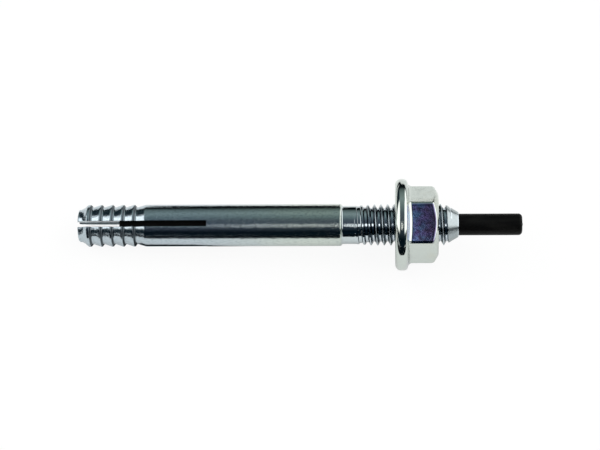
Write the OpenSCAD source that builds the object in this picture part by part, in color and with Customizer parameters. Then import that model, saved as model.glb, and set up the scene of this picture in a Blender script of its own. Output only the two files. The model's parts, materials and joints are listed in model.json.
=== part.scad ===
/* [Anchor body] */
// Length of the body from the nose to the end of the stud
body_length = 72.5; // [66:0.5:110]
// Diameter of the shank, which is also the drilled hole's nominal size
shank_d = 8; // [7.6:0.1:8.4]
// Where the shank ends in a shoulder, from the nose
shoulder_at = 50.2; // [40:0.1:56]
// Length of the short cone that the shoulder was turned to
shoulder_length = 0.35; // [0.1:0.05:0.8]
// Diameter of the rolled blank between the shoulder and the thread
neck_d = 7.25; // [6.6:0.05:7.6]
// Length from the shoulder to the end of the plain neck
neck_length = 3; // [1:0.1:5]
// Length over which the thread runs out into the neck
runout_length = 1.5; // [0.5:0.1:3]
// Thread diameter over the crests
thread_d = 7.88; // [7.7:0.02:8]
// Length of the cone at the end of the stud
point_length = 2.7; // [1:0.1:4]
// Diameter of the flat ring at the end of the stud
point_d = 4.7; // [4.5:0.1:6]

/* [Expansion end] */
// Diameter of the nose's end face
nose_d = 5.2; // [4.2:0.1:5.8]
// Height of the shallow cone that the end face was turned to
nose_rise = 0.25; // [0.1:0.05:0.4]
// Radius of the nose's rounded edge
nose_round = 0.5; // [0.3:0.05:0.7]
// Length of the tapered lead behind the rounded edge
lead_length = 0.7; // [0.4:0.05:1]
// Diameter at the end of the tapered lead
lead_d = 7; // [6.6:0.1:7.3]
// Distance from the nose to the first barb's crest
barb_start = 2.55; // [2.4:0.05:3.5]
// Distance from crest to crest
barb_pitch = 2.1; // [1.6:0.1:2.4]
// Number of barbs
barb_count = 5; // [2:1:6]
// Width of the land on the first crest
first_land = 0.5; // [0.3:0.05:0.7]
// Width of the land on the other crests
barb_land = 0.25; // [0.1:0.05:0.5]
// Length of the steep face behind each crest
barb_back = 0.35; // [0.2:0.05:0.6]
// Depth of the groove behind each crest
barb_depth = 0.5; // [0.2:0.05:0.7]
// Width of each of the two crossed slots
slot_w = 1.05; // [0.6:0.05:1.6]
// Length of the slots from the nose
slot_length = 24.9; // [16:0.1:34]
// Roll of the slots about the axis
slot_turn = 27; // [0:1:90]

/* [Drive pin] */
// Diameter of the pin
pin_d = 4.1; // [3.4:0.1:4.2]
// Distance from the nose to the pin's flat tip, before it is driven
pin_tip_at = 8.1; // [6:0.1:12]
// How far the pin stands proud of the stud
pin_proud = 12; // [6:0.5:18]
// Radius of the pin's rounded striking edge
pin_round = 0.7; // [0.3:0.1:1.2]
// Chamfer at the pin's tip
pin_tip_chamfer = 0.25; // [0.1:0.05:0.6]
// Radial clearance of the pin in its bore
pin_clearance = 0.05; // [0.02:0.01:0.1]
// Gap between the pin's tip and the end of the full bore
pin_tip_gap = 0.1; // [0.05:0.05:0.5]
// Diameter of the narrower hole through the nose, which the pin forces open
pilot_d = 3; // [1.8:0.1:3.3]
// Point angle of the drill that left the step between the bore and that hole
drill_angle = 118; // [90:1:140]

/* [Flange nut] */
// Distance from the nose to the nut's bearing face
nut_at = 60.5; // [58:0.1:62]
// Height of the nut
nut_h = 8.2; // [7:0.1:9]
// Width across the flats
nut_flats = 12.9; // [12:0.1:14]
// Diameter over the rounded corners of the hexagon
nut_corners = 14.4; // [13.9:0.1:14.9]
// Diameter of the washer face at the hexagon's free end
washer_face_d = 11.5; // [10.6:0.1:12.4]
// Slope of the chamfer that cuts the hexagon's corners
chamfer_angle = 30; // [15:1:40]
// Diameter of the flange
flange_d = 17.4; // [16:0.1:19]
// Radius of the flange's lower edge
rim_round = 0.85; // [0.3:0.05:1]
// Height of the straight part of the flange's rim above that radius
rim_straight = 0.7; // [0.2:0.05:1.2]
// Radius of the flange's upper edge
rim_top_round = 0.3; // [0.1:0.05:0.5]
// Slope of the flange's conical top
flange_slope = 28; // [10:1:34]
// Radial clearance of the nut on the thread's crests
nut_clearance = 0.05; // [0.02:0.01:0.1]
// Diameter of the countersink at both ends of the nut's hole
nut_csk_d = 8.9; // [8.4:0.1:9.6]
// Angle of that countersink
nut_csk_angle = 120; // [90:1:130]

/* [Hidden] */
$fn = 96;
zinc_colour = "#c3cbd2";
black_oxide_colour = "#1b1b1d";
// Cuts run this far past the faces that they open
overrun = 1;

// Anchor body along its axis, from the nose
neck_end = shoulder_at + neck_length;
thread_start = neck_end + runout_length;
point_start = body_length - point_length;
barb_root_d = shank_d - 2 * barb_depth;
barb_end = barb_start + barb_count * barb_pitch;
lead_start_d = nose_d + 2 * nose_round;
lead_start = nose_rise + nose_round;
bore_d = pin_d + 2 * pin_clearance;
bore_end = pin_tip_at - pin_tip_gap;
bore_step = (bore_d - pilot_d) / 2 / tan(drill_angle / 2);

// Drive pin
pin_end = body_length + pin_proud;

// Flange nut, from its bearing face
nut_bore_d = thread_d + 2 * nut_clearance;
rim_top = rim_round + rim_straight;
rim_top_r = flange_d / 2 - rim_top_round;
flange_edge = [rim_top_r + rim_top_round * sin(flange_slope), rim_top + rim_top_round * cos(flange_slope)];
hex_edge_r = nut_flats / 2;
flange_top = flange_edge[1] + (flange_edge[0] - hex_edge_r) * tan(flange_slope);
csk_depth = (nut_csk_d - nut_bore_d) / 2 / tan(nut_csk_angle / 2);
chamfer_drop = (nut_corners - washer_face_d) / 2 * tan(chamfer_angle);

// Laid down, the anchor rests on the flange's lower edge and on the first barb, with its nose low
rest_run = nut_at + rim_round - barb_start;
rest_rise = flange_d / 2 - rim_round - shank_d / 2;
rest_tilt = atan2(rest_rise, rest_run) + asin(rim_round / norm([rest_run, rest_rise]));
rest_z = shank_d / 2 * cos(rest_tilt) - barb_start * sin(rest_tilt);
nose_reach = -pilot_d / 2 * sin(rest_tilt);
pin_reach = (pin_end - pin_round) * cos(rest_tilt) + (pin_d / 2 - pin_round) * sin(rest_tilt) + pin_round;
rest_x = -(nose_reach + pin_reach) / 2;

// Stands a piece, drawn along +Z from the nose, in its place on the lying anchor
module laid_down() {
  translate([rest_x, 0, rest_z])
    rotate([0, 90 - rest_tilt, 0])
      children();
}

// One groove of the barbs: steep behind the crest, then a gentle slope up to the next one
function barb_points(crest) = [
  [shank_d / 2, crest - barb_land],
  [shank_d / 2, crest],
  [barb_root_d / 2, crest + barb_back]
];

// Half section of the turned body, with the barbs as one saw-tooth run
module body_profile() {
  polygon([
    [0, 0],
    [pilot_d / 2, 0],
    [nose_d / 2, nose_rise],
    [nose_d / 2, lead_start],
    [lead_start_d / 2, lead_start],
    [lead_d / 2, lead_start + lead_length],
    [shank_d / 2, barb_start - first_land],
    for (i = [0 : barb_count - 1]) each barb_points(barb_start + i * barb_pitch),
    [shank_d / 2, barb_end],
    [shank_d / 2, shoulder_at],
    [neck_d / 2, shoulder_at + shoulder_length],
    [neck_d / 2, neck_end],
    [thread_d / 2, thread_start],
    [thread_d / 2, point_start],
    [point_d / 2, body_length],
    [0, body_length]
  ]);
  translate([nose_d / 2, lead_start])
    circle(r = nose_round);
}

// Half section of the bore: the pin's hole, a drill-point step and the narrower hole through the nose
module bore_profile() {
  polygon([
    [0, -overrun],
    [pilot_d / 2, -overrun],
    [pilot_d / 2, bore_end - bore_step],
    [bore_d / 2, bore_end],
    [bore_d / 2, body_length + overrun],
    [0, body_length + overrun]
  ]);
}

// Two sawn slots that cross on the axis and part the nose into four legs
module cross_slots() {
  for (turn = [0, 90])
    rotate([0, 0, slot_turn + turn])
      translate([-shank_d, -slot_w / 2, -overrun])
        cube([2 * shank_d, slot_w, slot_length + overrun]);
}

module anchor_body() {
  color(zinc_colour)
    laid_down()
      difference() {
        rotate_extrude()
          body_profile();
        rotate_extrude()
          bore_profile();
        cross_slots();
      }
}

// Half section of the flange, with rounded edges and a conical top that runs in under the hexagon
module flange_profile() {
  polygon([
    [0, 0],
    [flange_d / 2 - rim_round, 0],
    [flange_d / 2 - rim_round, rim_round],
    [flange_d / 2, rim_round],
    [flange_d / 2, rim_top],
    [rim_top_r, rim_top],
    flange_edge,
    [hex_edge_r, flange_top],
    [0, flange_top]
  ]);
  translate([flange_d / 2 - rim_round, rim_round])
    circle(r = rim_round);
  translate([rim_top_r, rim_top])
    circle(r = rim_top_round);
}

// Half section of the turned envelope that rounds the hexagon's corners and chamfers its free end
module hexagon_envelope() {
  polygon([
    [0, 0],
    [nut_corners / 2, 0],
    [nut_corners / 2, nut_h - chamfer_drop],
    [washer_face_d / 2, nut_h],
    [0, nut_h]
  ]);
}

// Half section of the nut's hole, with a countersink at both ends
module nut_hole_profile() {
  mouth_r = nut_csk_d / 2 + overrun * tan(nut_csk_angle / 2);
  polygon([
    [0, -overrun],
    [mouth_r, -overrun],
    [nut_bore_d / 2, csk_depth],
    [nut_bore_d / 2, nut_h - csk_depth],
    [mouth_r, nut_h + overrun],
    [0, nut_h + overrun]
  ]);
}

module flange_nut() {
  color(zinc_colour)
    laid_down()
      translate([0, 0, nut_at])
        difference() {
          union() {
            rotate_extrude()
              flange_profile();
            intersection() {
              translate([0, 0, rim_round])
                cylinder(r = nut_flats / 2 / cos(30), h = nut_h, $fn = 6);
              rotate_extrude()
                hexagon_envelope();
            }
          }
          rotate_extrude()
            nut_hole_profile();
        }
}

// Half section of the pin: chamfered tip, straight shank and rounded striking end
module pin_profile() {
  polygon([
    [0, pin_tip_at],
    [pin_d / 2 - pin_tip_chamfer, pin_tip_at],
    [pin_d / 2, pin_tip_at + pin_tip_chamfer],
    [pin_d / 2, pin_end - pin_round],
    [pin_d / 2 - pin_round, pin_end - pin_round],
    [pin_d / 2 - pin_round, pin_end],
    [0, pin_end]
  ]);
  translate([pin_d / 2 - pin_round, pin_end - pin_round])
    circle(r = pin_round);
}

module drive_pin() {
  color(black_oxide_colour)
    laid_down()
      rotate_extrude()
        pin_profile();
}

anchor_body();
flange_nut();
drive_pin();
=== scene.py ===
"""Looks of a hammer-set expansion anchor, laid out as an add-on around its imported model."""

import json
import math

import bmesh
import bpy
import numpy as np
from mathutils import Matrix, Vector


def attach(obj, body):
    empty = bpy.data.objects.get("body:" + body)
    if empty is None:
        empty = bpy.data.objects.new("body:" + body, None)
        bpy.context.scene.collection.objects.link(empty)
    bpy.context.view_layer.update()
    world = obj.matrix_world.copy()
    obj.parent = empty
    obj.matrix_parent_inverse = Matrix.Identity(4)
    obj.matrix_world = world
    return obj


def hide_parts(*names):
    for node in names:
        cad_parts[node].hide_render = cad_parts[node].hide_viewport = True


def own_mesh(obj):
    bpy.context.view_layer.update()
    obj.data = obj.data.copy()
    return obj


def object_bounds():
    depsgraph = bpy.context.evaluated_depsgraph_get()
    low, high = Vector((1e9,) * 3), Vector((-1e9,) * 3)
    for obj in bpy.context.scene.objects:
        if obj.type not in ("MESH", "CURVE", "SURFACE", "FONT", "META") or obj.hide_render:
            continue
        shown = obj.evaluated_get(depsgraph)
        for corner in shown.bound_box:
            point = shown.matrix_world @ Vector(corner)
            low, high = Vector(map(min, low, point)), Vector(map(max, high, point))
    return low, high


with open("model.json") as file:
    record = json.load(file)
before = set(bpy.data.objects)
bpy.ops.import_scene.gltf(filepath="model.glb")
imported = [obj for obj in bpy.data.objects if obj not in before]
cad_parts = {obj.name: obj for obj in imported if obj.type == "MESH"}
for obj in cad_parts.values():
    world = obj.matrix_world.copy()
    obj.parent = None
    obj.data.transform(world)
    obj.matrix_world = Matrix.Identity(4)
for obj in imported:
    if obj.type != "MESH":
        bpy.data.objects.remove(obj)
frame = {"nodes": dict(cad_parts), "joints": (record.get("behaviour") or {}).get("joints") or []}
CAD_BOX = [list(corner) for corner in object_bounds()]

bl_info = {
    "name": "Expansion Anchor",
    "version": (1, 0, 0),
    "blender": (4, 5, 0),
    "location": "View3D > Sidebar > Anchor",
    "description": "Builds a hammer-set expansion anchor: stud, legs, flange nut and drive pin",
    "category": "Add Mesh",
}

MM = 0.001
FULL_TURN = 2 * math.pi
QUARTER_TURN = math.pi / 2

# The anchor's axis, from the frame: it runs from the nose to the struck end of the pin
JOINTS = {joint["name"]: joint for joint in frame["joints"]}
ALONG = np.array(JOINTS["nut_spin"]["axis"])
NUT_FACE = np.array(JOINTS["nut_spin"]["pos_m"])
SIDE = np.array([0.0, 1.0, 0.0])
DOWN = np.cross(SIDE, ALONG)
TILT = math.atan2(ALONG[2], ALONG[0])

# How finely the surfaces are cut
STUD_COLUMNS = 128
FLANK_STEPS = 7
LEG_ARC_STEPS = 31
LEG_SIDE_STEPS = 3
NUT_STEPS_PER_FLAT = 30
PIN_COLUMNS = 96
ARC_STEPS = 7
SHARP_ANGLE = math.radians(30)
CORNER_CROWDING = 0.85
MERGE_DISTANCE = 1e-7

# Roundings stay under half of the shorter side, and a leg's broken edge under half of its wall
SIDE_LIMIT = 0.49
WALL_LIMIT = 0.4

# How dull the plate on the turned cone is, and how much of the rolled look the neck has already
CONE_DULL = 0.4
NECK_ROLLED = 0.65

# The nut's film: share of the fillet that stays bare, levels of its wave round the nut at which it starts and
# is full, and share of the nut's height from which painted shade darkens it towards the chamfer
FILM_FOOT = 0.7
FILM_START, FILM_FULL = 0.47, 0.55
CHAMFER_SHADE_START = 0.55


def node_span(name):
    """Lowest and highest distance of a CAD node along the axis from the nut's face, and largest radius."""
    vertices = frame["nodes"][name].data.vertices
    points = np.empty(3 * len(vertices))
    vertices.foreach_get("co", points)
    offset = points.reshape(-1, 3) - NUT_FACE
    along = offset @ ALONG
    radius = np.linalg.norm(offset - along[:, None] * ALONG, axis=1)
    return along.min(), along.max(), radius.max()


BODY_LOW, BODY_HIGH, BODY_RADIUS = node_span("anchor_body")
NUT_LOW, NUT_HIGH, NUT_RADIUS = node_span("flange_nut")
PIN_LOW, PIN_HIGH, PIN_RADIUS = node_span("drive_pin")
NOSE = NUT_FACE + BODY_LOW * ALONG


def linear(hex_colour):
    """Linear RGB of an sRGB hex colour."""
    srgb = np.array([int(hex_colour[i : i + 2], 16) for i in (1, 3, 5)]) / 255
    curve = np.where(srgb <= 0.04045, srgb / 12.92, ((srgb + 0.055) / 1.055) ** 2.4)
    return tuple(curve.tolist())


def size(name, description, metres):
    """A length property."""
    return bpy.props.FloatProperty(
        name=name, description=description, default=metres, min=0.0, precision=5, unit="LENGTH"
    )


def angle(name, description, degrees):
    """An angle property."""
    return bpy.props.FloatProperty(
        name=name, description=description, default=math.radians(degrees), subtype="ANGLE"
    )


def share(name, description, value):
    """A property between 0 and 1."""
    return bpy.props.FloatProperty(
        name=name, description=description, default=value, min=0.0, max=1.0, subtype="FACTOR"
    )


def colour(name, description, hex_colour):
    """A colour property, kept linear."""
    return bpy.props.FloatVectorProperty(
        name=name, description=description, default=linear(hex_colour), size=3, min=0.0, max=1.0,
        subtype="COLOR",
    )


def group(kind, name):
    """A property that holds a group of settings."""
    return bpy.props.PointerProperty(type=kind, name=name, description=f"Settings of the {name.lower()}")


class AnchorStudSettings(bpy.types.PropertyGroup):
    """Sizes of the stud from the end of the slots to its threaded end."""

    length: size("Length", "From the nose to the end of the stud", BODY_HIGH - BODY_LOW)
    shank_d: size("Shank diameter", "Diameter of the plain shank", 2 * BODY_RADIUS)
    shoulder_at: size("Shoulder", "From the nose to the end of the plain shank", 50.2 * MM)
    shoulder_length: size("Shoulder length", "Length of the shoulder's short cone", 0.35 * MM)
    neck_d: size("Neck diameter", "Diameter of the rolled blank", 7.25 * MM)
    neck_length: size("Neck length", "From the shoulder to the first trace of thread", 2 * MM)
    runout_length: size("Thread run-out", "Length over which the thread deepens", 3.8 * MM)
    thread_d: size("Thread diameter", "Over the crests", 7.88 * MM)
    thread_pitch: size("Thread pitch", "From crest to crest", 1.25 * MM)
    thread_depth: size("Thread depth", "From crest to root", 0.767 * MM)
    thread_crest: size("Thread crest", "Width of the flat on the crest", 0.12 * MM)
    crest_bend: share("Crest bend", "Rounding of the crest's edges, as a share of the flank", 0.08)
    root_bend: share("Root bend", "Rounding of the root's edges, as a share of the flank", 0.03)
    crest_at: size("Crest place", "From the nose to one crest, at the crest's roll", 59.09 * MM)
    crest_roll: angle("Crest roll", "Roll at which that crest is found", 123)
    point_length: size("Point length", "Length of the cone at the stud's end", 2.7 * MM)
    point_d: size("Point diameter", "Diameter of the flat ring at the stud's end", 4.7 * MM)
    bore_d: size("Bore diameter", "Diameter of the pin's hole", 4.2 * MM)
    edge: size("Edge break", "Reach of the rounding of the turned edges", 0.16 * MM)


class AnchorLegSettings(bpy.types.PropertyGroup):
    """Sizes of the barbed expansion end, which two crossed slots part into four legs."""

    nose_d: size("Nose diameter", "Diameter of the nose's end face", 5.2 * MM)
    nose_rise: size("Nose rise", "Height of the end face's shallow cone", 0.25 * MM)
    nose_round: size("Nose rounding", "Radius of the nose's edge", 0.5 * MM)
    lead_length: size("Lead length", "Length of the taper behind the nose's edge", 0.7 * MM)
    lead_d: size("Lead diameter", "Diameter at the end of the taper", 7 * MM)
    barb_start: size("First crest", "From the nose to the first barb's crest", 2.55 * MM)
    barb_pitch: size("Barb pitch", "From crest to crest", 2.1 * MM)
    barb_count: bpy.props.IntProperty(name="Barbs", description="Number of barbs", default=5, min=1)
    first_land: size("First land", "Width of the land on the first crest", 0.5 * MM)
    barb_land: size("Land", "Width of the land on the other crests", 0.25 * MM)
    barb_back: size("Barb back", "Length of the steep face behind a crest", 0.35 * MM)
    barb_depth: size("Barb depth", "Depth of the groove behind a crest", 0.5 * MM)
    crest_round: size("Crest rounding", "Reach of the rounding of a crest", 0.09 * MM)
    root_round: size("Root rounding", "Reach of the rounding of a groove", 0.22 * MM)
    slot_w: size("Slot width", "Width of each sawn slot", 1.05 * MM)
    slot_length: size("Slot length", "From the nose to the end of the slots", 24.9 * MM)
    slot_turn: angle("Slot roll", "Roll of the slots about the axis", 27)
    edge: size("Edge break", "Width of the broken edge along a slot", 0.07 * MM)
    pilot_d: size("Pilot diameter", "Diameter of the narrow hole through the nose", 3 * MM)
    step_start: size("Step start", "From the nose to the start of the bore's step", 7.64 * MM)
    step_end: size("Step end", "From the nose to the start of the full bore", 8 * MM)
    spread_angle: angle("Spread angle", "Slant, from the axis, of the way that a leg gives", 60)
    spread_keep: share("Spread", "Share that a leg keeps along that slant when the pin is home", 0.93)


class AnchorNutSettings(bpy.types.PropertyGroup):
    """Sizes of the hexagon nut with its conical flange."""

    height: size("Height", "Height of the nut", NUT_HIGH - NUT_LOW)
    flats: size("Across flats", "Width across the flats", 12.9 * MM)
    corners: size("Across corners", "Diameter over the rounded corners", 14.6 * MM)
    corner_blend: size("Corner blend", "How softly the flats run into the corners", 0.05 * MM)
    washer_face_d: size("Washer face", "Diameter of the face at the free end", 11.5 * MM)
    chamfer: angle("Chamfer", "Slope of the chamfer on the corners", 30)
    flange_d: size("Flange diameter", "Diameter of the flange", 2 * NUT_RADIUS)
    rim_round: size("Rim rounding", "Radius of the flange's lower edge", 1.1 * MM)
    rim_straight: size("Rim height", "Height of the straight rim", 0.45 * MM)
    rim_top_round: size("Upper rounding", "Radius of the flange's upper edge", 0.9 * MM)
    flange_slope: angle("Flange slope", "Slope of the flange's conical top", 10)
    fillet: size("Fillet", "Reach of the fillet from the cone to the flats", 0.7 * MM)
    chamfer_round: size("Chamfer rounding", "Reach of the rounding where the chamfer starts", 0.5 * MM)
    edge: size("Edge break", "Reach of the rounding round the washer face", 0.22 * MM)
    bore_d: size("Bore", "Diameter of the hole", 7.98 * MM)
    csk_d: size("Countersink", "Diameter of the countersinks", 8.9 * MM)
    csk_angle: angle("Countersink angle", "Full angle of the countersinks", 120)
    film_roll: angle("Film roll", "Roll of a flat on which the violet film is thickest", 210)


class AnchorPinSettings(bpy.types.PropertyGroup):
    """Sizes of the drive pin."""

    diameter: size("Diameter", "Diameter of the pin", 2 * PIN_RADIUS)
    tip_at: size("Tip", "From the nose to the pin's tip", PIN_LOW - BODY_LOW)
    end_at: size("End", "From the nose to the pin's struck end", PIN_HIGH - BODY_LOW)
    tip_chamfer: size("Tip chamfer", "Chamfer at the tip", 0.25 * MM)
    tip_edge: size("Tip edge", "Reach of the rounding of that chamfer", 0.05 * MM)
    end_round: size("End rounding", "Radius of the struck end's edge", 0.7 * MM)
    nub_d: size("Nub diameter", "Diameter of the parting nub on the struck end", 0.7 * MM)
    nub_h: size("Nub height", "Height of that nub", 0.14 * MM)


class AnchorFinishSettings(bpy.types.PropertyGroup):
    """Colours of the finishes."""

    zinc: colour("Zinc", "Plain zinc plate on the stud", "#c1cac3")
    zinc_blue: colour("Blue cast", "Where the passivation is thin and blue", "#b2bec5")
    zinc_straw: colour("Straw cast", "Where the passivation leans to yellow", "#bfc1b6")
    zinc_rolled: colour("Rolled zinc", "Plate on the rolled neck and thread", "#bdc6cc")
    # Painted shade: darkens the thread halfway down each flank, so that its grooves look dark
    zinc_flank: colour("Thread flank", "Oil and plating salts on the thread's flanks", "#4a555c")
    zinc_dull: colour("Dull zinc", "Thin plate on cut faces", "#4c555a")
    nut_zinc: colour("Nut zinc", "Plain zinc plate on the nut", "#c0c7c2")
    film_violet: colour("Violet film", "Where the nut's passivation is thick", "#9a8bd2")
    film_blue: colour("Blue film", "Where that film is a little thinner", "#86abdc")
    # Colour of the film's dark blotches, and of the painted shade that darkens the film towards the chamfer
    film_deep: colour("Deep film", "Where that film is thickest, by the chamfer", "#57485f")
    black_oxide: colour("Black oxide", "The pin's oiled black oxide", "#040404")
    black_worn: colour("Worn oxide", "Where the oxide is rubbed thin", "#0f0f0e")


class AnchorStageSettings(bpy.types.PropertyGroup):
    """Camera, floor and surroundings."""

    elevation: angle("Elevation", "Height of the camera about the anchor's axis", 57)
    roll: angle("Roll", "Turn of the picture", 0.217)
    aside: angle("Aside", "How far the camera stands round towards the pin", 2.75)
    focus_at: size("Picture centre", "From the nose to the picture's centre along the axis", 42.43 * MM)
    lower_by: size("Lower", "How far the axis lies below the picture's centre", 0.02 * MM)
    picture_w: size("Picture width", "Width of the picture at the axis", 114.16 * MM)
    lens: bpy.props.FloatProperty(
        name="Lens", description="Focal length in millimetres", default=120.0, min=1.0
    )
    floor_w: size("Floor width", "Side of the square floor", 3.0)
    softbox_w: size("Softbox width", "Side of the square softbox", 1.5)
    softbox_h: size("Softbox height", "Height of the softbox over the floor", 1.0)
    softbox_power: bpy.props.FloatProperty(
        name="Softbox power", description="Power of the softbox", default=6.0, min=0.0, unit="POWER"
    )


class AnchorSettings(bpy.types.PropertyGroup):
    """Everything that a user of the anchor would change."""

    stud: group(AnchorStudSettings, "Stud")
    legs: group(AnchorLegSettings, "Legs")
    nut: group(AnchorNutSettings, "Nut")
    pin: group(AnchorPinSettings, "Pin")
    finish: group(AnchorFinishSettings, "Finish")
    stage: group(AnchorStageSettings, "Stage")


# Shapes


def place(along, radius, roll):
    """Points at a distance along the axis from the nose, at a radius and a roll about that axis.

    Roll 0 points down, and roll grows towards +Y, right-handed about the axis."""
    along, radius, roll = np.broadcast_arrays(along, radius, roll)
    across = np.cos(roll)[..., None] * DOWN + np.sin(roll)[..., None] * SIDE
    return NOSE + along[..., None] * ALONG + radius[..., None] * across


def rounded(corners, reaches, steps=ARC_STEPS):
    """A line through the corners, with each corner turned into a circle's arc that starts a reach before it.

    The arc is the quadratic curve from start to stop that leans on the corner with a weight equal to the
    cosine of half the turn. A reach stays under half of the shorter side, and a reach of 0 is a sharp corner.
    The corners have the shape (corner, 2), or (corner, roll, 2) where the line changes round the axis."""
    corners = np.asarray(corners, float)
    rows = [corners[:1]]
    for i in range(1, len(corners) - 1):
        corner = corners[i]
        if reaches[i] == 0:
            rows.append(corner[None])
            continue
        sides = np.stack([corners[i - 1] - corner, corners[i + 1] - corner])
        lengths = np.linalg.norm(sides, axis=-1, keepdims=True)
        sides = sides / lengths
        weight = np.sqrt((1 - (sides[0] * sides[1]).sum(-1, keepdims=True)) / 2)
        start, stop = corner + sides * np.minimum(reaches[i], SIDE_LIMIT * lengths.min(0))
        t = np.linspace(0, 1, steps).reshape((-1,) + (1,) * corner.ndim)
        pulls = (1 - t) ** 2, 2 * t * (1 - t) * weight, t**2
        rows.append((pulls[0] * start + pulls[1] * corner + pulls[2] * stop) / sum(pulls))
    rows.append(corners[-1:])
    return np.concatenate(rows)


def soft_ramp(value, low_blend, high_blend):
    """0 below 0, 1 above 1 and straight between, with the two bends rounded over their blends."""
    bends = [
        np.where(x < -blend, 0, np.where(x > blend, x, (x + blend) ** 2 / (4 * blend)))
        for x, blend in ((value, low_blend), (value - 1, high_blend))
    ]
    return bends[0] - bends[1]


def smooth_step(value):
    """0 below 0, 1 above 1, and a smooth S between."""
    value = np.clip(value, 0, 1)
    return value * value * (3 - 2 * value)


def grid_faces(rows, columns, rows_closed, meets):
    """Vertex numbers of the quads of a grid whose columns run round, and whose rows may.

    meets gives for each row the row that it runs into after a turn, which on a screw is a later one."""
    row, column = np.meshgrid(
        np.arange(rows if rows_closed else rows - 1), np.arange(columns), indexing="ij"
    )
    next_row = (row + 1) % rows
    next_column = (column + 1) % columns
    turned, next_turned = (np.where(next_column == 0, meets[r], r) for r in (row, next_row))
    corners = [(row, column), (turned, next_column), (next_turned, next_column), (next_row, column)]
    return np.stack([r * columns + c for r, c in corners], -1).reshape(-1, 4)


def new_piece(name, points, material, rows_closed=False, end_cap=False, values=None, meets=None):
    """An object from a grid of points: doubles are merged, so poles close, and faces point outwards.

    values holds named numbers for the material, one for each point of the grid."""
    rows, columns = points.shape[:2]
    faces = grid_faces(rows, columns, rows_closed, np.arange(rows) if meets is None else meets).tolist()
    if end_cap:
        faces.append(list(range((rows - 1) * columns, rows * columns)))
    mesh = bpy.data.meshes.new(name)
    mesh.from_pydata(points.reshape(-1, 3).tolist(), [], faces)
    for label, numbers in (values or {}).items():
        layer = mesh.attributes.new(label, "FLOAT", "POINT")
        layer.data.foreach_set("value", numbers.astype(np.float32).ravel())
    build = bmesh.new()
    build.from_mesh(mesh)
    bmesh.ops.remove_doubles(build, verts=build.verts, dist=MERGE_DISTANCE)
    bmesh.ops.recalc_face_normals(build, faces=build.faces)
    build.to_mesh(mesh)
    build.free()
    mesh.shade_smooth()
    mesh.set_sharp_from_angle(angle=SHARP_ANGLE)
    mesh.materials.append(material)
    piece = bpy.data.objects.new(name, mesh)
    bpy.context.scene.collection.objects.link(piece)
    return piece


def flank_width(stud):
    """Length along the axis of one flank, which leans 30 degrees from the radius."""
    return stud.thread_depth * math.tan(math.radians(30))


def thread_radius(stud, along, roll):
    """Radius of a right-hand thread, a share of painted shade that is 1 halfway down a flank, and what lies
    on the end's cone.

    The thread is a wave along the axis with crest, straight 60 degree flanks and root, which moves on by one
    pitch in a turn. Along the run-out the wave's crest and root are cut off flat, less with each turn. The
    cone at the end cuts the thread off."""
    turns = (along - stud.crest_at) / stud.thread_pitch - (roll - stud.crest_roll) / FULL_TURN
    past_crest = (turns - np.round(turns)) * stud.thread_pitch
    past_root = (turns - np.floor(turns) - 0.5) * stud.thread_pitch
    down_flank = (np.abs(past_crest) - stud.thread_crest / 2) / flank_width(stud)
    neck_r, crest_r = stud.neck_d / 2, stud.thread_d / 2
    root_r = crest_r - stud.thread_depth
    runout_start = stud.shoulder_at + stud.neck_length + stud.thread_pitch / 2
    risen, fallen = (
        np.clip((along - past - runout_start) / stud.runout_length, 0, 1) for past in (past_crest, past_root)
    )
    wave = crest_r - soft_ramp(down_flank, stud.crest_bend, stud.root_bend) * stud.thread_depth
    threaded = neck_r + np.clip(wave - neck_r, fallen * (root_r - neck_r), risen * (crest_r - neck_r))
    on_flank = np.clip(4 * down_flank * (1 - down_flank), 0, 1) * np.isclose(threaded, wave)
    to_end = (stud.length - along) / stud.point_length
    cone = stud.point_d / 2 + to_end * (stud.thread_d - stud.point_d) / 2
    return np.minimum(threaded, cone), np.where(threaded < cone, on_flank, 0), cone <= threaded


def screw_rows(stud, start, end, roll):
    """Distances along the axis of rows that wind with the thread, and the number of rows in a pitch.

    A row keeps its place on the thread's wave all round: on an edge of crest or root, or on a flank. Where it
    would leave the thread's length, it stays on the ring at that end."""
    bends = [-stud.crest_bend, 0, stud.crest_bend, 1 - stud.root_bend, 1 + stud.root_bend]
    side = stud.thread_crest / 2 + flank_width(stud) * np.sort(
        np.concatenate([bends, np.linspace(0, 1, FLANK_STEPS)[1:-1]])
    )
    wave = np.concatenate([-side[::-1], side])
    first_crest = stud.crest_at - stud.crest_roll / FULL_TURN * stud.thread_pitch
    turns = np.arange(
        math.floor((start - first_crest) / stud.thread_pitch) - 1,
        math.ceil((end - first_crest) / stud.thread_pitch) + 2,
    )
    places = (first_crest + turns[:, None] * stud.thread_pitch + wave).reshape(-1, 1)
    return np.clip(places + roll / FULL_TURN * stud.thread_pitch, start, end), len(wave)


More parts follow.
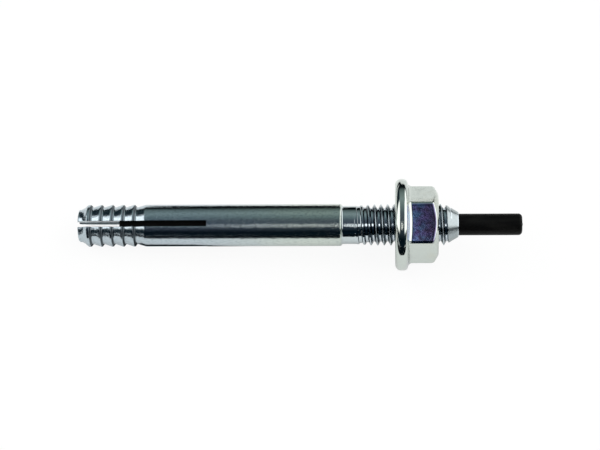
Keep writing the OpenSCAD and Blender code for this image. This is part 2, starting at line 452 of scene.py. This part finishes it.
def stud_points(stud, slot_length):
    """Stud: plain rings to the neck, rows of thread to the end, then back down the bore as a closed loop.

    With the points come the values for the material, and the row that each row meets after a turn."""
    roll = np.linspace(0, FULL_TURN, STUD_COLUMNS, endpoint=False)
    shank_r, neck_r, bore_r = stud.shank_d / 2, stud.neck_d / 2, stud.bore_d / 2
    shoulder_end = stud.shoulder_at + stud.shoulder_length
    neck_end = stud.shoulder_at + stud.neck_length
    plain = rounded(
        [
            (slot_length, bore_r),
            (slot_length, shank_r),
            (stud.shoulder_at, shank_r),
            (shoulder_end, neck_r),
            (neck_end, neck_r),
        ],
        [0, 0, stud.edge, stud.edge, 0],
    )
    thread_rows, rows_in_pitch = screw_rows(stud, neck_end, stud.length - stud.edge, roll)
    threaded, on_flank, on_cone = thread_radius(stud, thread_rows, roll)
    mouth = rounded(
        [
            (stud.length - stud.edge, stud.point_d / 2 + stud.edge / 2),
            (stud.length, stud.point_d / 2),
            (stud.length, bore_r),
            (stud.length - stud.edge, bore_r),
        ],
        [0, stud.edge / 2, stud.edge / 4, 0],
    )
    full = np.ones_like(roll)
    along = np.concatenate([plain[:, :1] * full, thread_rows, mouth[:, :1] * full])
    radius = np.concatenate([plain[:, 1:] * full, threaded, mouth[:, 1:] * full])
    on_neck = smooth_step((along - stud.shoulder_at) / stud.shoulder_length)
    on_thread = smooth_step((along - neck_end) / stud.runout_length)
    flank, dull = np.zeros_like(radius), np.zeros_like(radius)
    thread = slice(len(plain), len(plain) + len(threaded))
    # Painted shade halfway down the thread's flanks
    flank[thread] = on_flank
    dull[thread] = CONE_DULL * on_cone
    meets = np.arange(len(radius))
    meets[thread] = np.minimum(meets[thread] + rows_in_pitch, thread.stop - 1)
    rolled = (NECK_ROLLED * on_neck + (1 - NECK_ROLLED) * on_thread) * (1 - dull)
    return place(along, radius, roll), {"rolled": rolled, "flank": flank, "dull": dull}, meets


def leg_outline(legs, shank_r):
    """Outer line of the expansion end: rounded nose, tapered lead, then a saw tooth for each barb."""
    pilot_r, nose_r, lead_r = legs.pilot_d / 2, legs.nose_d / 2, legs.lead_d / 2
    edge_end = legs.nose_rise + legs.nose_round
    root_r = shank_r - legs.barb_depth
    corners = [
        (0, pilot_r, 0),
        (legs.nose_rise, nose_r, 0),
        (legs.nose_rise, nose_r + legs.nose_round, legs.nose_round),
        (edge_end, nose_r + legs.nose_round, 0),
        (edge_end + legs.lead_length, lead_r, legs.crest_round),
        (legs.barb_start - legs.first_land, shank_r, legs.crest_round),
    ]
    for i in range(legs.barb_count):
        crest = legs.barb_start + i * legs.barb_pitch
        if i > 0:
            corners.append((crest - legs.barb_land, shank_r, legs.crest_round))
        corners.append((crest, shank_r, legs.crest_round))
        corners.append((crest + legs.barb_back, root_r, legs.root_round))
    barb_end = legs.barb_start + legs.barb_count * legs.barb_pitch
    corners.append((barb_end, shank_r, legs.root_round))
    corners.append((legs.slot_length, shank_r, 0))
    table = np.array(corners)
    return rounded(table[:, :2], table[:, 2])


def leg_points(legs, stud, middle):
    """One leg: at each station a quarter ring, cut back by half a slot on both sides, and its dull faces.

    A slot's wall lies half a slot from the plane through the axis at 45 degrees from the leg's middle, so a
    point of it at a distance t along that plane has the radius of t and the half slot as a right triangle."""
    outline = leg_outline(legs, stud.shank_d / 2)
    along = np.unique(np.concatenate([outline[:, 0], [legs.step_start, legs.step_end]]))
    outer = np.interp(along, outline[:, 0], outline[:, 1])[:, None]
    bore_line = [legs.pilot_d / 2, stud.bore_d / 2]
    inner = np.interp(along, [legs.step_start, legs.step_end], bore_line)[:, None]
    half_slot = legs.slot_w / 2
    outer_edge = np.sqrt(outer**2 - half_slot**2)
    inner_edge = np.sqrt(inner**2 - half_slot**2)
    break_w = np.minimum(legs.edge, WALL_LIMIT * (outer_edge - inner_edge))
    half_quarter = QUARTER_TURN / 2
    fan = np.linspace(-1, 1, LEG_ARC_STEPS)
    outer_roll = (half_quarter - np.arcsin(half_slot / outer) - break_w / outer) * fan
    inner_roll = (half_quarter - np.arcsin(half_slot / inner)) * fan
    walk = np.linspace(0, 1, LEG_SIDE_STEPS, endpoint=False)
    wall = outer_edge - break_w + walk * (inner_edge - outer_edge + break_w)
    wall_r = np.hypot(wall, half_slot)
    wall_roll = half_quarter - np.arctan2(half_slot, wall)
    full = np.ones_like(fan)
    radius = np.concatenate([outer * full, wall_r, inner * full, wall_r[:, ::-1]], axis=1)
    roll = np.concatenate([outer_roll, wall_roll, inner_roll[:, ::-1], -wall_roll[:, ::-1]], axis=1)
    dull = np.zeros_like(radius)
    dull[:, :LEG_ARC_STEPS] = np.clip(-np.gradient(outer[:, 0], along), 0, 1)[:, None]
    return place(along[:, None], radius, roll + middle), dull


def nut_roll():
    """Rolls round the nut, closest together at the hexagon's corners."""
    t = np.linspace(0, 1, NUT_STEPS_PER_FLAT, endpoint=False)
    flat = (t - CORNER_CROWDING * np.sin(FULL_TURN * t) / FULL_TURN) * FULL_TURN / 6
    return np.concatenate([flat + k * FULL_TURN / 6 for k in range(6)])


def hexagon_radius(nut, roll):
    """Radius of a hexagon with rounded corners, by a soft minimum of flat and corner circle."""
    from_flat = np.mod(roll, FULL_TURN / 6) - FULL_TURN / 12
    flat = nut.flats / 2 / np.cos(from_flat)
    corner = nut.corners / 2
    mix = np.clip(0.5 + 0.5 * (corner - flat) / nut.corner_blend, 0, 1)
    return corner + (flat - corner) * mix - nut.corner_blend * mix * (1 - mix)


def nut_points(nut):
    """Nut: at each roll a closed half section, whose hexagon wall, cone and chamfer follow the radius there.

    With the points come two shares for the material: film on every second flat, and painted shade that
    darkens it towards the chamfer."""
    roll = nut_roll()
    nut_at = -BODY_LOW
    hexagon = hexagon_radius(nut, roll)
    flange_r, washer_r, bore_r, csk_r = (
        d / 2 for d in (nut.flange_d, nut.washer_face_d, nut.bore_d, nut.csk_d)
    )
    csk_depth = (csk_r - bore_r) / math.tan(nut.csk_angle / 2)
    rim_top = nut.rim_round + nut.rim_straight
    slope = math.tan(nut.flange_slope)
    rim_lift = nut.rim_top_round * (1 / math.cos(nut.flange_slope) - slope)
    cone_start = rim_top + rim_lift
    cone_end = cone_start + (flange_r - hexagon) * slope
    chamfer_start = nut.height - (hexagon - washer_r) * math.tan(nut.chamfer)
    corners = [
        (csk_depth, bore_r, 0),
        (0, csk_r, nut.edge / 2),
        (0, flange_r, nut.rim_round),
        (cone_start, flange_r, rim_lift),
        (cone_end, hexagon, nut.fillet),
        (chamfer_start, hexagon, nut.chamfer_round),
        (nut.height, washer_r, nut.edge),
        (nut.height, csk_r, nut.edge / 2),
        (nut.height - csk_depth, bore_r, 0),
    ]
    flat = np.ones_like(roll)
    lines = np.stack([np.stack([nut_at + n * flat, r * flat], -1) for n, r, reach in corners])
    section = rounded(lines, [reach for n, r, reach in corners], steps=2 * ARC_STEPS)
    points = place(section[..., 0], section[..., 1], roll)
    wave = 0.5 + 0.5 * np.cos(3 * (roll - nut.film_roll))
    height = section[..., 0] - nut_at
    above_cone = smooth_step((height - cone_end - FILM_FOOT * nut.fillet) / ((1 - FILM_FOOT) * nut.fillet))
    below_chamfer = smooth_step((chamfer_start - height) / nut.edge)
    film = smooth_step((wave - FILM_START) / (FILM_FULL - FILM_START)) * above_cone * below_chamfer
    # Painted shade: the film darkens towards the chamfer end of the nut
    chamfer_shade = smooth_step((height / nut.height - CHAMFER_SHADE_START) / (1 - CHAMFER_SHADE_START))
    return points, film, chamfer_shade


def pin_points(pin):
    """Pin: a turned line from the tip's centre to the struck end, with a small parting nub there."""
    roll = np.linspace(0, FULL_TURN, PIN_COLUMNS, endpoint=False)
    pin_r, nub_r = pin.diameter / 2, pin.nub_d / 2
    nub_end = pin.end_at + pin.nub_h
    line = rounded(
        [
            (pin.tip_at, 0),
            (pin.tip_at, pin_r - pin.tip_chamfer),
            (pin.tip_at + pin.tip_chamfer, pin_r),
            (pin.end_at, pin_r),
            (pin.end_at, nub_r),
            (nub_end, nub_r / 2),
            (nub_end, 0),
        ],
        [0, pin.tip_edge, pin.tip_edge, pin.end_round, nub_r / 4, nub_r / 4, 0],
        steps=2 * ARC_STEPS,
    )
    return place(line[:, :1], line[:, 1:], roll)


# Finishes

# Along X, where the stud's blue cast is full and where it has faded out
BLUE_FULL, BLUE_END = -22 * MM, 4 * MM

# Depth of the marks that grinding, forming and drawing left, weight of the ground grain beside the marks
# round the axis, and share of both that is left on the rolled neck and thread
GROUND_DEPTH, FORMED_DEPTH, DRAWN_DEPTH = 0.011 * MM, 0.006 * MM, 0.008 * MM
GRAIN_WEIGHT = 2.6
ROLLED_MARKS = 0.04

# Roughness of the rolled plate, and of the dull one
ROLLED_ROUGHNESS, DULL_ROUGHNESS = 0.05, 0.5


def add_node(tree, kind, inputs=None, **settings):
    """Adds one node with its settings, links each input that is a socket and sets each that is a value."""
    made = tree.nodes.new(kind)
    for name, value in settings.items():
        setattr(made, name, value)
    for key, value in (inputs or {}).items():
        if isinstance(value, bpy.types.NodeSocket):
            tree.links.new(value, made.inputs[key])
        else:
            made.inputs[key].default_value = value
    return made


def new_material(name):
    """An empty node material, and its tree."""
    material = bpy.data.materials.new(name)
    material.use_nodes = True
    material.node_tree.nodes.clear()
    return material, material.node_tree


def opaque(rgb):
    """A colour with full alpha."""
    return (*rgb, 1.0)


def patches(tree, along, across, low=0.0, high=1.0, to_low=0.0, to_high=1.0, detail=2.0):
    """Noise with grains of these lengths, in metres, along and across the anchor's axis.

    The noise between low and high is stretched to the span from to_low to to_high."""
    where = add_node(tree, "ShaderNodeTexCoord").outputs["Object"]
    turned = add_node(tree, "ShaderNodeMapping", {"Vector": where, "Rotation": (0.0, TILT, 0.0)})
    grains = add_node(
        tree, "ShaderNodeMapping",
        {"Vector": turned.outputs["Vector"], "Scale": (1 / along, 1 / across, 1 / across)},
    )
    noise = add_node(
        tree, "ShaderNodeTexNoise", {"Vector": grains.outputs["Vector"], "Scale": 1.0, "Detail": detail}
    )
    return add_node(
        tree, "ShaderNodeMapRange",
        {
            "Value": noise.outputs["Fac"], "From Min": low, "From Max": high,
            "To Min": to_low, "To Max": to_high,
        },
    ).outputs["Result"]


def tinted(tree, base, layers):
    """A colour with other colours laid over it in turn, each by its own share."""
    for share_of, over in layers:
        base = add_node(
            tree, "ShaderNodeMix", {"Factor": share_of, "A": base, "B": opaque(over)}, data_type="RGBA"
        ).outputs["Result"]
    return base


def bumped_surface(tree, inputs, height, bump_depth):
    """A shader with these inputs and a bump, and the material's output."""
    bump = add_node(
        tree, "ShaderNodeBump", {"Height": height, "Strength": 1.0, "Distance": bump_depth}
    ).outputs["Normal"]
    shader = add_node(tree, "ShaderNodeBsdfPrincipled", {**inputs, "Normal": bump})
    add_node(tree, "ShaderNodeOutputMaterial", {"Surface": shader.outputs["BSDF"]})


def turned_zinc(finish):
    """Bright zinc plate with clear blue passivation, on a stud that is ground and then thread rolled.

    It is a grey mirror, bluer towards the nose. The grinding left fine marks round the axis, which smear
    highlights along it, and a grain that sparkles; both are drawn coarser than real ones, 0.16 and 0.5 mm
    apart, so that they show, and fine pits darken it in specks. The rolled neck and thread are smoother, with
    painted shade halfway down the thread's flanks. The turned cone at the end and the backs of the barbs
    are dull."""
    material, tree = new_material("bright_zinc_plate_turned")
    rolled, flank, dull = (
        add_node(tree, "ShaderNodeAttribute", attribute_name=label).outputs["Fac"]
        for label in ("rolled", "flank", "dull")
    )
    where = add_node(tree, "ShaderNodeTexCoord").outputs["Object"]
    along = add_node(tree, "ShaderNodeSeparateXYZ", {"Vector": where}).outputs["X"]
    to_nose = add_node(
        tree, "ShaderNodeMapRange",
        {"Value": along, "From Min": BLUE_FULL, "From Max": BLUE_END, "To Min": 1.0, "To Max": 0.0},
        interpolation_type="SMOOTHSTEP",
    ).outputs["Result"]
    stained = patches(tree, 6 * MM, 2.5 * MM, 0.5, 0.75, 0.0, 0.5)
    pitted = patches(tree, 0.45 * MM, 0.3 * MM, 0.48, 0.7, 0.0, 0.26, detail=4.0)
    base = tinted(
        tree, opaque(finish.zinc),
        [
            (to_nose, finish.zinc_blue),
            (stained, finish.zinc_blue),
            (pitted, finish.zinc_dull),
            (rolled, finish.zinc_rolled),
            # Painted shade halfway down the thread's flanks
            (flank, finish.zinc_flank),
            (dull, finish.zinc_dull),
        ],
    )
    marks = patches(tree, 0.16 * MM, 2.2 * MM, detail=3.0)
    grain = patches(tree, 0.55 * MM, 0.45 * MM, detail=3.0)
    coarse = add_node(
        tree, "ShaderNodeMath", {0: grain, 1: GRAIN_WEIGHT, 2: marks}, operation="MULTIPLY_ADD"
    ).outputs["Value"]
    fine = add_node(
        tree, "ShaderNodeMath", {0: coarse, 1: ROLLED_MARKS}, operation="MULTIPLY"
    ).outputs["Value"]
    height = add_node(
        tree, "ShaderNodeMapRange", {"Value": rolled, "To Min": coarse, "To Max": fine}
    ).outputs["Result"]
    roughness = patches(tree, 0.6 * MM, 0.4 * MM, 0.3, 0.7, 0.1, 0.2)
    for share_of, reached in ((rolled, ROLLED_ROUGHNESS), (dull, DULL_ROUGHNESS)):
        roughness = add_node(
            tree, "ShaderNodeMapRange", {"Value": share_of, "To Min": roughness, "To Max": reached}
        ).outputs["Result"]
    metal = {"Base Color": base, "Metallic": 1.0, "Roughness": roughness}
    bumped_surface(tree, metal, height, GROUND_DEPTH)
    return material


def formed_zinc(finish):
    """Bright zinc plate with clear blue passivation, on a cold-formed nut.

    It is a paler grey mirror, softly uneven as dies leave it. Where the passivation film is thick, its
    interference turns the reflection violet to blue in blotches of 1 to 2 mm, and darker in smaller ones;
    painted shade darkens the film towards the chamfer."""
    material, tree = new_material("bright_zinc_plate_formed")
    film, chamfer_shade = (
        add_node(tree, "ShaderNodeAttribute", attribute_name=label).outputs["Fac"]
        for label in ("film", "chamfer_shade")
    )
    blue, dark = (
        add_node(tree, "ShaderNodeMath", {0: film, 1: blotches}, operation="MULTIPLY").outputs["Value"]
        for blotches in (
            patches(tree, 1.6 * MM, 1.6 * MM, 0.38, 0.62, detail=5.0),
            patches(tree, 0.7 * MM, 0.7 * MM, 0.45, 0.75, detail=4.0),
        )
    )
    base = tinted(
        tree, opaque(finish.nut_zinc),
        [
            (patches(tree, 4 * MM, 4 * MM, 0.5, 0.75, 0.0, 0.6), finish.zinc_straw),
            (film, finish.film_violet),
            (blue, finish.film_blue),
            (dark, finish.film_deep),
            # Painted shade on the film towards the chamfer
            (chamfer_shade, finish.film_deep),
        ],
    )
    peel = patches(tree, 0.7 * MM, 0.7 * MM, detail=3.0)
    roughness = patches(tree, 1.5 * MM, 1.5 * MM, 0.3, 0.7, 0.07, 0.16)
    metal = {"Base Color": base, "Metallic": 1.0, "Roughness": roughness}
    bumped_surface(tree, metal, peel, FORMED_DEPTH)
    return material


def black_oxide(finish):
    """Oiled black oxide on a drawn steel pin.

    It is a near-black satin skin, a little greyer where handling has rubbed it, with fine drawing lines along
    the pin; they are drawn 0.25 mm apart, coarser than real ones, so that they show."""
    material, tree = new_material("black_oxide_oiled")
    rubbed = patches(tree, 5 * MM, 1.2 * MM, 0.45, 0.75, detail=3.0)
    base = tinted(tree, opaque(finish.black_oxide), [(rubbed, finish.black_worn)])
    lines = patches(tree, 6 * MM, 0.25 * MM, detail=3.0)
    roughness = patches(tree, 6 * MM, 0.25 * MM, 0.3, 0.7, 0.42, 0.55)
    skin = {"Base Color": base, "Roughness": roughness, "Specular IOR Level": 0.08}
    bumped_surface(tree, skin, lines, DRAWN_DEPTH)
    return material


def finish_named(name, make, finish):
    """The material of that name, made once."""
    return bpy.data.materials.get(name) or make(finish)


# Stage

# Light that the middle of the room throws back, by angle from the front horizon over the top to the back
ROOM_LIGHT = (
    (0, "#0f1e28"),
    (20, "#04121c"),
    (38, "#343f4a"),
    (60, "#525c68"),
    (84, "#5b6670"),
    (102, "#76888c"),
    (126, "#98a9a9"),
    (146, "#7c8c8b"),
    (158, "#5c6a68"),
    (165, "#0c1416"),
)

# Two lamps near the camera: where each begins and ends along X, the angles between which they begin and end
# above the front horizon, and what they add to the room's strength
LAMPS = (((-0.1, -0.092), (-0.072, -0.068)), ((-0.043, -0.04), (-0.03, -0.026)))
LAMP_RISE, LAMP_FALL = (43, 48), (60, 66)
LAMP_GLOW = 1.4

# Lights on the room's end walls: where each wall begins and ends along X, and the angles over which its light
# fades out. Both lights fade in over the same angles, and the rest of the walls is dark
END_LIGHTS = (
    ((-1.2, -1.1), (-0.5, -0.3), (116, 132)),
    ((0.3, 0.5), (1.1, 1.2), (160, 176)),
)
END_LIGHT_RISE = (28, 42)
END_WALL = "#1d2e35"

# Share of the floor's own shade that the camera sees, and that reflections show
SHADE_SEEN, SHADE_REFLECTED = 0.08, 0.7

# Colours of the white surroundings, of the paper in the light and of the cards
WHITE, PAPER, CARD = "#ffffff", "#f4f4f2", "#0a1216"

# Height of the black cards over the floor
CARD_LIFT = 0.02 * MM


def band(tree, value, rise, fall):
    """1 between two levels and 0 outside, with soft flanks: rise and fall give where each begins and ends."""
    up, down = (
        add_node(
            tree, "ShaderNodeMapRange",
            {"Value": value, "From Min": start, "From Max": stop, "To Min": before, "To Max": after},
            interpolation_type="SMOOTHSTEP",
        ).outputs["Result"]
        for (start, stop), before, after in ((rise, 0.0, 1.0), (fall, 1.0, 0.0))
    )
    return add_node(tree, "ShaderNodeMath", {0: up, 1: down}, operation="MULTIPLY").outputs["Value"]


def room_light():
    """World: a dim room by angle about the X axis, with two soft lamps and a soft light at either end.

    The lamps are near the camera. The lights at the ends begin 35 degrees above the front horizon, and the
    right one reaches further back. To the camera the world is white."""
    world = bpy.data.worlds.new("studio")
    world.use_nodes = True
    tree = world.node_tree
    tree.nodes.clear()
    way = add_node(tree, "ShaderNodeTexCoord").outputs["Generated"]
    parts = add_node(tree, "ShaderNodeSeparateXYZ", {"Vector": way}).outputs
    front = add_node(tree, "ShaderNodeMath", {0: parts["Y"], 1: -1.0}, operation="MULTIPLY")
    over = add_node(
        tree, "ShaderNodeMath", {0: parts["Z"], 1: front.outputs["Value"]}, operation="ARCTAN2"
    ).outputs["Value"]
    half_turns = add_node(
        tree, "ShaderNodeMath", {0: over, 1: math.pi}, operation="DIVIDE"
    ).outputs["Value"]
    ramp = add_node(tree, "ShaderNodeValToRGB", {"Fac": half_turns})
    stops = ramp.color_ramp.elements
    while len(stops) < len(ROOM_LIGHT):
        stops.new(0.5)
    for stop, (degrees, hex_colour) in zip(stops, ROOM_LIGHT):
        stop.position = degrees / 180
        stop.color = opaque(linear(hex_colour))
    white, dark = opaque(linear(WHITE)), opaque(linear(END_WALL))
    lamp_high = band(tree, over, np.radians(LAMP_RISE), np.radians(LAMP_FALL))
    lamp = 0.0
    for rise, fall in LAMPS:
        lamp = add_node(
            tree, "ShaderNodeMath", {0: lamp_high, 1: band(tree, parts["X"], rise, fall), 2: lamp},
            operation="MULTIPLY_ADD",
        ).outputs["Value"]
    room = add_node(
        tree, "ShaderNodeMix", {"Factor": lamp, "A": ramp.outputs["Color"], "B": white}, data_type="RGBA"
    ).outputs["Result"]
    glow = add_node(tree, "ShaderNodeMath", {0: lamp, 1: LAMP_GLOW}, operation="MULTIPLY").outputs["Value"]
    for rise, fall, top in END_LIGHTS:
        wall = band(tree, parts["X"], rise, fall)
        lit = band(tree, over, np.radians(END_LIGHT_RISE), np.radians(top))
        end = add_node(tree, "ShaderNodeMix", {"Factor": lit, "A": dark, "B": white}, data_type="RGBA")
        room = add_node(
            tree, "ShaderNodeMix", {"Factor": wall, "A": room, "B": end.outputs["Result"]}, data_type="RGBA"
        ).outputs["Result"]
        glow = add_node(
            tree, "ShaderNodeMath", {0: wall, 1: lit, 2: glow}, operation="MULTIPLY_ADD"
        ).outputs["Value"]
    seen = add_node(tree, "ShaderNodeLightPath").outputs["Is Camera Ray"]
    shown = add_node(tree, "ShaderNodeMix", {"Factor": seen, "A": room, "B": white}, data_type="RGBA")
    unseen = add_node(tree, "ShaderNodeMath", {0: 1.0, 1: seen}, operation="SUBTRACT")
    strength = add_node(
        tree, "ShaderNodeMath", {0: glow, 1: unseen.outputs["Value"], 2: 1.0}, operation="MULTIPLY_ADD"
    )
    background = add_node(
        tree, "ShaderNodeBackground",
        {"Color": shown.outputs["Result"], "Strength": strength.outputs["Value"]},
    )
    add_node(tree, "ShaderNodeOutputWorld", {"Surface": background.outputs["Background"]})
    return world


def white_paper():
    """Matt white paper: diffuse to light, and white to the camera and in reflections, with some of its shade.

    The share of shade is larger in reflections, where the object meets its own shadow."""
    material, tree = new_material("white_paper")
    diffuse = add_node(tree, "ShaderNodeBsdfDiffuse", {"Color": opaque(linear(PAPER))})
    glow = add_node(tree, "ShaderNodeEmission", {"Color": opaque(linear(WHITE)), "Strength": 1.0})
    path = add_node(tree, "ShaderNodeLightPath").outputs
    shade_share = add_node(
        tree, "ShaderNodeMapRange",
        {"Value": path["Is Camera Ray"], "To Min": SHADE_REFLECTED, "To Max": SHADE_SEEN},
    )
    shaded = add_node(
        tree, "ShaderNodeMixShader",
        {0: shade_share.outputs["Result"], 1: glow.outputs["Emission"], 2: diffuse.outputs["BSDF"]},
    )
    seen = path["Is Camera Ray"]
    for kind in ("Is Glossy Ray", "Is Transmission Ray"):
        seen = add_node(
            tree, "ShaderNodeMath", {0: seen, 1: path[kind]}, operation="MAXIMUM"
        ).outputs["Value"]
    shown = add_node(
        tree, "ShaderNodeMixShader",
        {0: seen, 1: diffuse.outputs["BSDF"], 2: shaded.outputs["Shader"]},
    )
    add_node(tree, "ShaderNodeOutputMaterial", {"Surface": shown.outputs["Shader"]})
    return material


def dark_card():
    """Matt black card, which gives the round metal its dark lines and, under the shank, a painted shadow in
    its reflection.
    """
    material, tree = new_material("black_card")
    diffuse = add_node(tree, "ShaderNodeBsdfDiffuse", {"Color": opaque(linear(CARD))})
    add_node(tree, "ShaderNodeOutputMaterial", {"Surface": diffuse.outputs["BSDF"]})
    return material


def flat_sheet(name, corners, material):
    """A flat stage piece from its corners."""
    mesh = bpy.data.meshes.new(name)
    mesh.from_pydata(corners, [], [list(range(len(corners)))])
    mesh.materials.append(material)
    sheet = bpy.data.objects.new(name, mesh)
    bpy.context.scene.collection.objects.link(sheet)
    return sheet


def card_outlines(half):
    """Corners, in X and Y, of the cards in front of the anchor and behind it, and of the painted shadow under
    it.

    half is half of the floor's width: the first two cards end at the floor's edges."""
    nose_x, nut_x, end_x = NOSE[0], NUT_FACE[0], CAD_BOX[1][0]
    return {
        "front_card": [
            (nose_x - 60 * MM, -22 * MM),
            (nose_x + 20 * MM, -21.5 * MM),
            (end_x, -36 * MM),
            (end_x + 60 * MM, -36 * MM),
            (end_x + 60 * MM, -half),
            (nose_x - 60 * MM, -half),
        ],
        "back_card": [
            (nose_x + 10.4 * MM, 32 * MM),
            (nut_x - 3 * MM, 60 * MM),
            (nut_x - 3 * MM, half),
            (nose_x - 182 * MM, half),
        ],
        # Painted shadow: a black card on the floor under the shank, seen only in reflections, wider near the
        # nose where the shank lies closest to the floor
        "painted_shadow_card": [
            (nose_x + 11 * MM, -5.6 * MM),
            (nose_x + 22 * MM, -5.4 * MM),
            (nose_x + 32 * MM, -2 * MM),
            (nose_x + 32 * MM, 3 * MM),
            (nose_x + 11 * MM, 3 * MM),
        ],
    }


def reflection_card(name, outline, material):
    """A card on the floor that shows only in reflections."""
    card = flat_sheet(name, [(x, y, CARD_LIFT) for x, y in outline], material)
    card.visible_camera = False
    card.visible_diffuse = False
    card.visible_shadow = False


class ANCHOR_OT_stud(bpy.types.Operator):
    """Builds the four barbed legs, each as its own piece; it does not spread them as the pin is driven"""

    bl_idname = "anchor.stud"
    bl_label = "Stud"

    def execute(self, context):
        anchor = context.scene.anchor
        material = finish_named("bright_zinc_plate_turned", turned_zinc, anchor.finish)
        points, values, meets = stud_points(anchor.stud, anchor.legs.slot_length)
        stud = new_piece("anchor_stud", points, material, rows_closed=True, values=values, meets=meets)
        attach(stud, "anchor_body")
        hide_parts("anchor_body")
        return {"FINISHED"}


class ANCHOR_OT_legs(bpy.types.Operator):
    """Builds the four barbed legs, which spread as the pin is driven"""

    bl_idname = "anchor.legs"
    bl_label = "Expansion legs"

    def execute(self, context):
        anchor = context.scene.anchor
        legs = anchor.legs
        material = finish_named("bright_zinc_plate_turned", turned_zinc, anchor.finish)
        for i in range(4):
            middle = legs.slot_turn + (i + 0.5) * QUARTER_TURN
            points, dull = leg_points(legs, anchor.stud, middle)
            leg = new_piece(f"expansion_leg_{i + 1}", points, material, end_cap=True, values={"dull": dull})
            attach(leg, "anchor_body")
            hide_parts("anchor_body")
            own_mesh(leg)
        return {"FINISHED"}


class ANCHOR_OT_nut(bpy.types.Operator):
    """Builds the hexagon nut with its flange, fillet, chamfer and countersinks"""

    bl_idname = "anchor.nut"
    bl_label = "Flange nut"

    def execute(self, context):
        anchor = context.scene.anchor
        points, film, chamfer_shade = nut_points(anchor.nut)
        # The film carries the painted shade towards the chamfer
        nut = new_piece(
            "hex_flange_nut", points, formed_zinc(anchor.finish), rows_closed=True,
            values={"film": film, "chamfer_shade": film * chamfer_shade},
        )
        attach(nut, "flange_nut")
        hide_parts("flange_nut")
        return {"FINISHED"}


class ANCHOR_OT_pin(bpy.types.Operator):
    """Builds the black drive pin"""

    bl_idname = "anchor.pin"
    bl_label = "Drive pin"

    def execute(self, context):
        anchor = context.scene.anchor
        pin = new_piece("black_drive_pin", pin_points(anchor.pin), black_oxide(anchor.finish))
        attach(pin, "drive_pin")
        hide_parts("drive_pin")
        return {"FINISHED"}


class ANCHOR_OT_stage(bpy.types.Operator):
    """Sets the paper floor, the cards, the room's light and the camera"""

    bl_idname = "anchor.stage"
    bl_label = "Stage"

    def execute(self, context):
        scene = context.scene
        stage = scene.anchor.stage
        half = stage.floor_w / 2
        flat_sheet(
            "floor", [(-half, -half, 0), (half, -half, 0), (half, half, 0), (-half, half, 0)], white_paper()
        )
        card = dark_card()
        for name, outline in card_outlines(half).items():
            reflection_card(name, outline, card)
        scene.world = room_light()
        lamp = bpy.data.lights.new("top_softbox", "AREA")
        lamp.size = stage.softbox_w
        lamp.energy = stage.softbox_power
        softbox = bpy.data.objects.new("top_softbox", lamp)
        softbox.location = (0.0, 0.0, stage.softbox_h)
        softbox.visible_glossy = False
        scene.collection.objects.link(softbox)
        scene.view_settings.view_transform = "Standard"

        camera = bpy.data.cameras.new("camera")
        camera.lens = stage.lens
        square = -math.cos(stage.elevation) * SIDE - math.sin(stage.elevation) * DOWN
        back = math.cos(stage.aside) * square + math.sin(stage.aside) * ALONG
        right = math.cos(stage.aside) * ALONG - math.sin(stage.aside) * square
        up = np.cross(back, right)
        aim = NOSE + stage.focus_at * ALONG + stage.lower_by * up
        distance = stage.picture_w * stage.lens / camera.sensor_width
        turn = Matrix((right, up, back)).transposed() @ Matrix.Rotation(-stage.roll, 3, "Z")
        eye = bpy.data.objects.new("camera", camera)
        eye.matrix_world = Matrix.Translation(Vector(aim + distance * back)) @ turn.to_4x4()
        scene.collection.objects.link(eye)
        scene.camera = eye
        return {"FINISHED"}


class VIEW3D_PT_anchor(bpy.types.Panel):
    """Sidebar panel with the anchor's pieces and their sizes."""

    bl_label = "Expansion anchor"
    bl_idname = "VIEW3D_PT_anchor"
    bl_space_type = "VIEW_3D"
    bl_region_type = "UI"
    bl_category = "Anchor"

    def draw(self, context):
        anchor = context.scene.anchor
        for operator in OPERATORS:
            self.layout.operator(operator.bl_idname)
        for piece in AnchorSettings.__annotations__:
            settings = getattr(anchor, piece)
            self.layout.label(text=anchor.bl_rna.properties[piece].name)
            for setting in type(settings).__annotations__:
                self.layout.prop(settings, setting)


SETTINGS = (
    AnchorStudSettings,
    AnchorLegSettings,
    AnchorNutSettings,
    AnchorPinSettings,
    AnchorFinishSettings,
    AnchorStageSettings,
    AnchorSettings,
)
OPERATORS = (ANCHOR_OT_stud, ANCHOR_OT_legs, ANCHOR_OT_nut, ANCHOR_OT_pin, ANCHOR_OT_stage)
CLASSES = (*SETTINGS, *OPERATORS, VIEW3D_PT_anchor)


def register():
    """Registers the classes and puts the settings on the scene."""
    for made in CLASSES:
        bpy.utils.register_class(made)
    bpy.types.Scene.anchor = group(AnchorSettings, "Anchor")


def unregister():
    """Takes the settings off the scene and unregisters the classes."""
    del bpy.types.Scene.anchor
    for made in reversed(CLASSES):
        bpy.utils.unregister_class(made)


def main():
    """Builds every piece and the stage."""
    register()
    bpy.ops.anchor.stud()
    bpy.ops.anchor.legs()
    bpy.ops.anchor.nut()
    bpy.ops.anchor.pin()
    bpy.ops.anchor.stage()
    bpy.context.view_layer.update()


if __name__ == "__main__":
    main()
